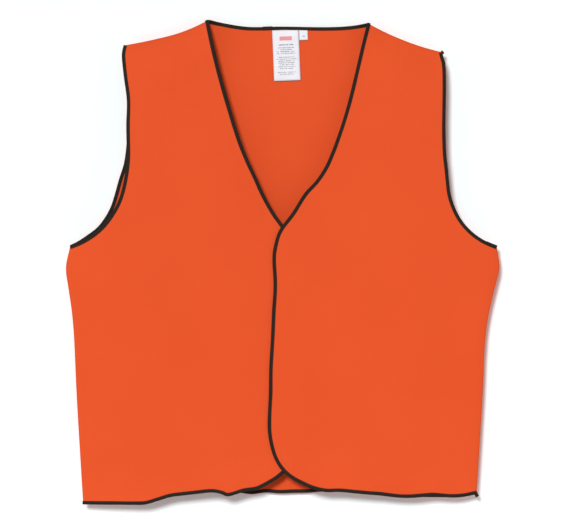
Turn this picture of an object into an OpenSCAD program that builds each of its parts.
// Sleeveless safety vest of knitted cloth, held upright as on a hanger.
// The wearer's left is +X, the front faces -Y and +Z is up. The origin is level with the neck
// points, on the centre line of the body.

/* [Body] */
// Width between the side seams where the armholes end
chest_w = 619; // [500:1:750]
// How far each side swells out just below the armhole
side_swell = 5; // [0:1:15]
// Width between the side seams at mid body
waist_w = 600; // [480:1:720]
// Width between the side seams above the hem
low_w = 588; // [470:1:710]
// Width of the hem from side seam to side seam
hem_w = 570; // [450:1:700]
// Length from the neck points down to the hem at the centre
body_len = 681; // [560:1:830]
// Extra droop of the hem at the wearer's right side
hem_droop_right = 19; // [0:1:30]
// Extra droop of the hem at the wearer's left side
hem_droop_left = 9; // [0:1:30]
// How far the lower body hangs towards the wearer's right
lean = 6.5; // [0:0.5:15]
// Depth of the hollow between the middle and one face of the body
fullness = 13; // [8:0.5:22]

/* [Shoulders and armholes] */
// Width between the shoulder tips
shoulder_w = 464; // [400:1:520]
// Drop of the shoulder tips below the neck points
shoulder_drop = 40; // [20:1:70]
// How far the shoulder line dips below a straight line, twice over
shoulder_dip = 9; // [0:1:16]
// Angle of the whole shoulder line, lower at the wearer's left
shoulder_tilt = 1.3; // [0:0.1:3]
// Height over which the cloth rounds down from the shoulder line
shoulder_round = 45; // [35:1:70]
// Depth of the armholes below the neck points
armhole_drop = 326; // [280:1:380]
// Width across the body between the armholes at their narrowest
across_w = 460; // [400:1:510]
// Level below the neck points where the front armholes turn outwards
front_turn = 190; // [150:1:220]
// The same level on the back panel at the wearer's right, where the cloth peeks out
back_turn = 150; // [130:1:200]
// Run of the armhole's round bottom in towards the body
armhole_scoop = 50; // [30:1:70]

/* [Neck] */
// Width between the neck points
neck_w = 232; // [200:1:260]
// Offset of the neck opening towards the wearer's left
neck_shift = 5.5; // [0:0.5:10]
// Depth of the back neck curve below the neck points
neck_scoop = 7; // [3:0.5:16]
// Rise of the rounding line over the middle of the neck
neck_rise = 35; // [20:1:50]
// Level below the neck points where the V starts to turn in
v_knee = 250; // [220:1:280]
// Distance of that turn from the centre line
v_knee_x = 29; // [20:1:45]
// Level where the V has become the upright front edge
v_end = 345; // [320:1:380]

/* [Front overlap] */
// How far the wearer's left front laps over the right front
lap = 46; // [38:1:60]
// Offset of the overlap's middle from the centre line
lap_x = -1; // [-5:0.5:5]
// How far the upper part of the top edge bows back
edge_bow = 7; // [0:0.5:10]
// Height of the rounded lower front corners
corner_h = 99; // [70:1:130]
// Run of the top corner along the hem
corner_w_left = 84; // [60:1:100]
// Run of the under corner along the hem
corner_w_right = 102; // [80:1:110]
// How far each front steps away from the middle layer where they lap
lap_lift = 1.9; // [1.6:0.1:3]

/* [Cloth and trim] */
// Thickness of the knitted cloth
cloth = 1; // [0.8:0.1:1.4]
// Thickness of the binding tape
tape = 0.7; // [0.4:0.1:0.9]
// Free space between the tape and the cloth it folds round
tape_clear = 0.3; // [0.2:0.05:0.4]
// Visible width of the folded binding
binding_w = 6.5; // [5:0.5:11]
// Free space between the front and back cloth at a seam
seam_gap = 1.2; // [1:0.1:2]
// Width of the seam allowance inside the body
seam_w = 8; // [5:0.5:12]
// How deep the seam allowance is sewn into each layer
seam_bite = 0.1; // [0.05:0.05:0.2]
// Slit between a front's fixed side and its turning flap
fold_gap = 0.6; // [0.4:0.1:1]

/* [Closures] */
// Height of each hook or loop patch
patch_h = 50; // [30:1:70]
// Thickness of each hook or loop patch
patch_t = 1.1; // [0.6:0.1:1.2]
// Free space between a patch and the bindings beside it
patch_clear = 2.5; // [1:0.5:4]
// Free space between two sewn layers
sewn_gap = 0.05; // [0.03:0.01:0.1]

/* [Labels] */
// Width of the care label
label_w = 38.5; // [25:0.5:50]
// Length of the care label
label_h = 71; // [40:1:90]
// Thickness of the care label
label_t = 0.5; // [0.3:0.1:0.8]
// Place of the middle of the care label's top edge, from the centre line
label_x = 2; // [-20:1:20]
// Turn of both labels from upright
label_tilt = 2.3; // [0:0.1:5]
// Width of the size tag
tag_w = 12.5; // [8:0.5:18]
// Height of the size tag
tag_h = 13; // [8:0.5:20]
// Free space between the labels, the binding above them and the cloth behind them
label_clear = 0.6; // [0.4:0.1:1]

/* [Hidden] */

cloth_colour = "orangered";
tape_colour = "#2b2622";
patch_colour = "darkorange";
label_colour = "whitesmoke";

// Sides of the body along X, and its two faces along Y
left = 1;
right = -1;
front = -1;
back = 1;

// Drop below the armhole, and half width, where the side seam has its turns
swell_drop = 30;
waist_drop = 115;
low_drop = 225;
// Levels between which the lower body starts to lean
lean_top = -280;
lean_run = 200;
// Distances from the centre line where the hem starts to droop, and over which it does
droop_from_right = 150;
droop_run_right = 60;
droop_from_left = 90;
droop_run_left = 90;
// How evenly the depth falls off towards the side seams
side_power = 4;
// Distances from the centre line at which a front starts to step off and has stepped off
step_from = 60;
step_to = 25;
// How far each armhole edge swings out just below its shoulder tip
function tip_bulge(s) = s == right ? 7 : 4;
// Level of the V's first row under the neck point, as a share of its curve
v_start = 0.05;
// Reach of a binding's inner face short of the middle of the body
middle_clear = 0.1;

chest_half = chest_w / 2;
neck_half = neck_w / 2;
web = tape_clear + tape;
bind_half = cloth / 2 + web;
channel_half = cloth / 2 + tape_clear;

// ---- curves -----------------------------------------------------------------------------

function lerp(a, b, t) = a + (b - a) * t;
function clamp01(t) = min(1, max(0, t));
function smooth(t) = let (c = clamp01(t)) c * c * (3 - 2 * c);
function last(list) = list[len(list) - 1];
function reversed(list) = [for (i = [len(list) - 1:-1:0]) list[i]];
function tail(list) = [for (i = [1:len(list) - 1]) list[i]];
function total(list) = list * [for (v = list) 1];

// A cubic curve over four control points, and a list of points along it
function cubic(p, t) =
    pow(1 - t, 3) * p[0] + 3 * t * pow(1 - t, 2) * p[1] + 3 * t * t * (1 - t) * p[2] + pow(t, 3) * p[3];
function along(p, n, from = 0) = [for (i = [0:n]) cubic(p, lerp(from, 1, i / n))];

// A smooth curve through knots, and a list of points along it
function through(k, i, t) =
    let (a = k[max(0, i - 1)], b = k[i], c = k[i + 1], d = k[min(len(k) - 1, i + 2)])
    0.5 * (2 * b + (c - a) * t + (2 * a - 5 * b + 4 * c - d) * t * t + (3 * b - a - 3 * c + d) * pow(t, 3));
function spline(k, n) =
    concat([for (i = [0:len(k) - 2], j = [0:n - 1]) through(k, i, j / n)], [last(k)]);

// ---- the body's outline, in X and Z -----------------------------------------------------

function tilt(x) = -x * tan(shoulder_tilt);
function centre_x(z) = -lean * smooth((lean_top - z) / lean_run);
function hem_z(x) =
    -body_len - (x < 0
        ? hem_droop_right * smooth((-x - droop_from_right) / droop_run_right)
        : hem_droop_left * smooth((x - droop_from_left) / droop_run_left));

// Half the body's width against level, from the hem up to the armholes
side_knots = [
    [-body_len - hem_droop_right, hem_w / 2],
    [-armhole_drop - low_drop, low_w / 2],
    [-armhole_drop - waist_drop, waist_w / 2],
    [-armhole_drop - swell_drop, chest_half + side_swell],
    [-armhole_drop, chest_half]];
side_table = spline(side_knots, 6);
function half_w(z) = lookup(z, side_table);
function side_point(s, z) = [centre_x(z) + s * half_w(z), z];

function neck_point(s) = let (x = neck_shift + s * neck_half) [x, tilt(x)];
function shoulder_tip(s) = let (x = s * shoulder_w / 2) [x, -shoulder_drop + tilt(x)];
function shoulder_at(s, t) =
    lerp(neck_point(s), shoulder_tip(s), t) - [0, 2 * shoulder_dip * t * (1 - t)];

// Height of the line that the cloth rounds down from
function ridge(x) =
    let (s = x < neck_shift ? right : left, u = (x - neck_shift) / neck_half)
    abs(u) < 1 ? tilt(x) + neck_rise * (1 - u * u)
    : shoulder_at(s, clamp01((x - neck_point(s)[0]) / (shoulder_tip(s)[0] - neck_point(s)[0])))[1];

// Distance of the cloth's inner face from the middle of the body
function depth(p) =
    let (u = clamp01(abs(p[0] - centre_x(p[1])) / half_w(p[1])),
         r = 1 - clamp01((ridge(p[0]) - p[1]) / shoulder_round))
    seam_gap / 2 + fullness * (1 - pow(u, side_power)) * (1 - r * r);

side_rows = 12;
scoop_rows = 10;
// Shares of the armhole's upper curve that get a row, the last ones close under the neck's tape
upper_rows = [0.2, 0.4, 0.6, 0.8, 0.9, 1];
hem_corner_z = [for (s = [right, left]) hem_z(s * hem_w / 2 - lean)];
function corner_z(s) = s == right ? hem_corner_z[0] : hem_corner_z[1];

// Side seam from the hem up to the armhole
function side_line(s) =
    [for (i = [0:side_rows]) side_point(s, lerp(corner_z(s), -armhole_drop, i / side_rows))];

// Armhole from the side seam up to the shoulder tip
function armhole(s, turn) =
    let (pit = side_point(s, -armhole_drop), tip = shoulder_tip(s),
         x = neck_shift / 2 + s * across_w / 2, bend = lerp(turn, armhole_drop, 0.57))
    concat(
        along([pit, pit + [-s * armhole_scoop, armhole_scoop / 3], [x + s, -bend], [x, -turn]], scoop_rows),
        [for (t = upper_rows) cubic([[x, -turn], [x, lerp(-turn, tip[1], 0.4)],
            tip + [s * tip_bulge(s), -(turn + tip[1]) / 7], tip], t)]);

function hem_line(from, to, n) = [for (i = [0:n]) let (x = lerp(from, to, i / n)) [x, hem_z(x)]];

shoulder_cols = 6;
neck_cols = 16;
function shoulder_line(s) = [for (i = [0:shoulder_cols]) shoulder_at(s, i / shoulder_cols)];
neck_line = [for (i = [0:neck_cols])
    let (u = 2 * i / neck_cols - 1, x = neck_shift + u * neck_half)
    [x, tilt(x) - neck_scoop * (1 - pow(u, 4))]];

// Front edges: the V, the upright edge, and the round corner with the hem up to the fold line
v_cols = 14;
edge_cols = 6;
corner_cols = 9;
fold_cols = 3;
fold_x = [for (s = [right, left]) neck_point(s)[0]];
function fold_at(s) = s == right ? fold_x[0] : fold_x[1];
function edge_x(s) = lap_x - s * lap / 2;
function corner_start(s) = [edge_x(s), -body_len + corner_h];
function v_foot(s) = [edge_x(s) + (s == left ? edge_bow : 0), -v_end];
function v_turn(s) = [s * v_knee_x, -v_knee];

function v_line(s) =
    let (n = neck_point(s), k = v_turn(s), f = v_foot(s),
         pull = s == left ? [23, 34] : [16, 41], fall = s == left ? [0.34, 0.76] : [0.33, 0.66])
    concat(
        along([n, [n[0] - s * pull[0], -fall[0] * v_knee], [n[0] - s * pull[1], -fall[1] * v_knee], k],
            v_cols - 4, v_start),
        tail(along([k, [k[0] - s * 24, lerp(-v_knee, -v_end, 0.43)], [f[0] + s * 4, lerp(-v_knee, -v_end, 0.72)],
            f], 4)));

// From the round corner up to the neck
function front_edge(s) =
    let (f = v_foot(s), c = corner_start(s))
    concat(
        along([c, [c[0], lerp(c[1], f[1], 0.35)], [f[0] + (s == left ? 3 : 0), lerp(c[1], f[1], 0.68)], f],
            edge_cols),
        tail(reversed(v_line(s))));

// From the start of the round corner to the fold line
function front_foot(s) =
    let (c = corner_start(s), x = edge_x(s) + s * (s == left ? corner_w_left : corner_w_right),
         fold = fold_at(s) - s * fold_gap / 2, fall = s == left ? [0.64, 0.87] : [0.75, 0.94])
    concat(
        along([c, [c[0], lerp(c[1], -body_len, fall[0])],
            [lerp(c[0], x, 0.33), lerp(c[1], -body_len, fall[1])], [x, hem_z(x)]], corner_cols),
        tail(hem_line(x, fold, fold_cols)));

// ---- sheets and folded tapes ------------------------------------------------------------

// A solid over points and triangles, with its faces turned outwards
module closed(points, triangles) {
    volume = total([for (t = triangles) points[t[0]] * cross(points[t[1]], points[t[2]])]);
    polyhedron(points, volume < 0 ? triangles : [for (t = triangles) reversed(t)]);
}

function quad(a, b, c, d) = [[a, b, c], [a, c, d]];
function flat_list(lists) = [for (l = lists) each l];

// Rows of points between four edge lines that meet at their ends
function patch(bottom, top, low_x, high_x) =
    let (m = len(low_x) - 1, n = len(bottom) - 1)
    [for (i = [0:m]) let (v = i / m)
        [for (j = [0:n]) let (u = j / n)
            lerp(bottom[j], top[j], v) + lerp(low_x[i], high_x[i], u)
            - lerp(lerp(bottom[0], bottom[n], u), lerp(top[0], top[n], u), v)]];

// The sheet over a patch, between two distances from the middle layer; step lifts each point
module sheet(rows, face, near, far, step = 0) {
    m = len(rows);
    n = len(rows[0]);
    function place(p, d) = [p[0], face * (depth(p) + step_off(p, step) + d), p[1]];
    points = concat(
        [for (r = rows, p = r) place(p, near)],
        [for (r = rows, p = r) place(p, far)]);
    rim = concat(
        [for (j = [0:n - 2]) [j, j + 1]],
        [for (i = [0:m - 2]) [i * n + n - 1, (i + 1) * n + n - 1]],
        [for (j = [n - 1:-1:1]) [(m - 1) * n + j, (m - 1) * n + j - 1]],
        [for (i = [m - 1:-1:1]) [i * n, (i - 1) * n]]);
    cells = [for (i = [0:m - 2], j = [0:n - 2]) i * n + j];
    closed(points, concat(
        flat_list([for (c = cells) quad(c, c + n, c + n + 1, c + 1)]),
        flat_list([for (c = cells) quad(m * n + c, m * n + c + 1, m * n + c + n + 1, m * n + c + n)]),
        flat_list([for (e = rim) quad(e[0], e[1], m * n + e[1], m * n + e[0])])));
}

// How far the lapping fronts step off the body's even surface
function step_off(p, step) =
    step == 0 ? 0 : step * smooth((step_from - sign(step) * p[0]) / (step_from - step_to));

function heading(path, i) =
    let (d = path[min(i + 1, len(path) - 1)] - path[max(i - 1, 0)]) d / norm(d);

// A tube through rings of points that all have the same count
module tube(rings, caps) {
    k = len(rings[0]);
    m = len(rings);
    closed(flat_list(rings), concat(
        flat_list([for (i = [0:m - 2], j = [0:k - 1])
            let (a = i * k + j, b = i * k + (j + 1) % k) quad(a, b, b + k, a + k)]),
        flat_list([for (c = caps) quad(c[3], c[2], c[1], c[0])]),
        flat_list([for (c = caps) let (o = (m - 1) * k) quad(o + c[0], o + c[1], o + c[2], o + c[3])])));
}

// Tape folded over the edge of one layer; inward is 1 where the cloth lies left of the path
module binding(path, face, inward, step = 0) {
    rings = [for (i = [0:len(path) - 1])
        let (h = heading(path, i), n = inward * [-h[1], h[0]], p = path[i],
             q = p + n * (binding_w - web), edge = depth(p) + step_off(p, step) + cloth / 2,
             inner = depth(q) + step_off(q, step) + cloth / 2)
        [ring_point(q, face, inner + bind_half), ring_point(p - n * web, face, edge + bind_half),
         ring_point(p - n * web, face, max(middle_clear, edge - bind_half)),
         ring_point(q, face, max(middle_clear, inner - bind_half)),
         ring_point(q, face, max(3 * middle_clear, inner - channel_half)),
         ring_point(p - n * tape_clear, face, max(3 * middle_clear, edge - channel_half)),
         ring_point(p - n * tape_clear, face, edge + channel_half),
         ring_point(q, face, inner + channel_half)]];
    tube(rings, [[0, 1, 6, 7], [1, 2, 5, 6], [2, 3, 4, 5]]);
}
function ring_point(p, face, d) = [p[0], face * d, p[1]];

// Seam allowance between the two layers; inward is 1 where the body lies left of the path
module seam(path, inward) {
    half = seam_gap / 2 + seam_bite;
    rings = [for (i = [0:len(path) - 1])
        let (h = heading(path, i), n = inward * [-h[1], h[0]], p = path[i], q = p + n * seam_w)
        [ring_point(p, front, half), ring_point(p, back, half),
         ring_point(q, back, cloth / 2), ring_point(q, front, cloth / 2)]];
    tube(rings, [[0, 1, 2, 3]]);
}

// ---- cloth ------------------------------------------------------------------------------

// An upright line at x whose levels keep step with those of another line
function beside(line, x, low, high) =
    [for (p = line) [x, lerp(low, high, (p[1] - line[0][1]) / (last(line)[1] - line[0][1]))]];

function side_and_armhole(s, turn) = concat(side_line(s), tail(armhole(s, turn)));

module back_panel() {
    low = side_and_armhole(right, back_turn);
    high = side_and_armhole(left, front_turn);
    top = concat(reversed(shoulder_line(right)), tail(neck_line), tail(shoulder_line(left)));
    bottom = hem_line(low[0][0], high[0][0], len(top) - 1);
    color(cloth_colour) sheet(patch(bottom, top, low, high), back, 0, cloth);
}

side_cols = 10;
module front_side(s) {
    outer = side_and_armhole(s, front_turn);
    x = fold_at(s) + s * fold_gap / 2;
    t0 = fold_gap / 2 / (shoulder_w / 2 - s * neck_shift - neck_half);
    top = [for (i = [0:side_cols]) shoulder_at(s, lerp(t0, 1, i / side_cols))];
    inner = beside(outer, x, hem_z(x), top[0][1]);
    bottom = hem_line(x, outer[0][0], side_cols);
    color(cloth_colour)
        if (s == left)
            sheet(patch(bottom, top, inner, outer), front, 0, cloth);
        else
            sheet(patch(reversed(bottom), reversed(top), outer, inner), front, 0, cloth);
}
module left_front_side() front_side(left);
module right_front_side() front_side(right);

module front_flap(s) {
    edge = front_edge(s);
    bottom = front_foot(s);
    x = fold_at(s) - s * fold_gap / 2;
    n = len(bottom) - 1;
    fold = beside(edge, x, last(bottom)[1], last(edge)[1]);
    top = [for (i = [0:n]) lerp(last(edge), last(fold), i / n)];
    color(cloth_colour)
        if (s == left)
            sheet(patch(bottom, top, edge, fold), front, 0, cloth, lap_lift);
        else
            sheet(patch(reversed(bottom), reversed(top), fold, edge), front, 0, cloth, -lap_lift);
}
module left_front_flap() front_flap(left);
module right_front_flap() front_flap(right);

// ---- bindings ---------------------------------------------------------------------------

module back_neck_binding() color(tape_colour) binding(neck_line, back, -1);

module back_hem_binding() {
    from = side_line(right)[0][0];
    to = side_line(left)[0][0];
    color(tape_colour) binding(hem_line(from, to, 2 * shoulder_cols + neck_cols), back, 1);
}

module hem_binding(s) {
    x = fold_at(s) + s * fold_gap / 2;
    color(tape_colour) binding(hem_line(x, side_line(s)[0][0], side_cols), front, s);
}
module left_hem_binding() hem_binding(left);
module right_hem_binding() hem_binding(right);

// Down the V and the upright edge, round the corner and along the hem to the fold line. It
// starts where the whole width of the tape lies clear of the front's fixed side.
module front_binding(s) {
    clear_x = s * fold_at(s) - fold_gap / 2 - binding_w;
    path = concat([for (p = reversed(front_edge(s))) if (s * p[0] < clear_x) p], tail(front_foot(s)));
    color(tape_colour) binding(path, front, s, s * lap_lift);
}
module left_front_binding() front_binding(left);
module right_front_binding() front_binding(right);

module armhole_binding(s, turn) {
    color(tape_colour) {
        binding(armhole(s, front_turn), front, s);
        binding(armhole(s, turn), back, s);
    }
}
module left_armhole_binding() armhole_binding(left, front_turn);
module right_armhole_binding() armhole_binding(right, back_turn);

// ---- seams ------------------------------------------------------------------------------

seam_rows = 12;
seam_end = binding_w + 2;

module shoulder_seam(s) {
    t = seam_end / (shoulder_w / 2 - s * neck_shift - neck_half);
    path = [for (i = [0:seam_rows]) shoulder_at(s, lerp(t, 1 - t, i / seam_rows))];
    color(cloth_colour) seam(path, -s);
}
module left_shoulder_seam() shoulder_seam(left);
module right_shoulder_seam() shoulder_seam(right);

module side_seam(s) {
    low = corner_z(s) + seam_end;
    high = -armhole_drop - seam_end;
    color(cloth_colour)
        seam([for (i = [0:2 * seam_rows]) side_point(s, lerp(low, high, i / 2 / seam_rows))], s);
}
module left_side_seam() side_seam(left);
module right_side_seam() side_seam(right);

// ---- hook and loop patches --------------------------------------------------------------

patch_w = lap - edge_bow - 2 * (binding_w + patch_clear);
patch_top = -v_end - patch_clear;
patch_low = corner_start(left)[1];
function patch_z(i) = lerp(patch_top, patch_low, i / 2) - (i < 2 ? patch_h : 0) + (i == 1 ? patch_h / 2 : 0);
function patch_rows(i) =
    let (x = lap_x + edge_bow / 2, z = patch_z(i))
    [for (r = [0:4]) [for (c = [-1, -0.5, 0, 0.5, 1]) [x + c * patch_w / 2, z + patch_h * r / 4]]];

module hook_patch(i)
    color(patch_colour) sheet(patch_rows(i), front, -sewn_gap - patch_t, -sewn_gap, lap_lift);
module loop_patch(i)
    color(patch_colour) sheet(patch_rows(i), front, cloth + sewn_gap, cloth + sewn_gap + patch_t, -lap_lift);
module hook_patch_top() hook_patch(0);
module hook_patch_middle() hook_patch(1);
module hook_patch_bottom() hook_patch(2);
module loop_patch_top() loop_patch(0);
module loop_patch_middle() loop_patch(1);
module loop_patch_bottom() loop_patch(2);

// ---- labels -----------------------------------------------------------------------------

// A hanging label has its own plane, in front of the binding that its top edge is sewn under
neck_bottom = tilt(label_x) - neck_scoop - binding_w;
label_y = seam_gap / 2 + fullness + cloth / 2 - bind_half - label_clear - label_t;
module hanging(x, w, h)
    translate([label_x, label_y, neck_bottom - label_clear]) rotate([0, -label_tilt, 0])
        translate([x, 0, -h]) cube([w, label_t, h]);
module care_label() color(label_colour) hanging(-label_w / 2, label_w, label_h);
module size_tag() color(label_colour) hanging(label_w / 2 + label_clear, tag_w, tag_h);

back_panel();
left_front_side();
right_front_side();
left_front_flap();
right_front_flap();
back_neck_binding();
back_hem_binding();
left_hem_binding();
right_hem_binding();
left_front_binding();
right_front_binding();
left_armhole_binding();
right_armhole_binding();
left_shoulder_seam();
right_shoulder_seam();
left_side_seam();
right_side_seam();
hook_patch_top();
hook_patch_middle();
hook_patch_bottom();
loop_patch_top();
loop_patch_middle();
loop_patch_bottom();
care_label();
size_tag();
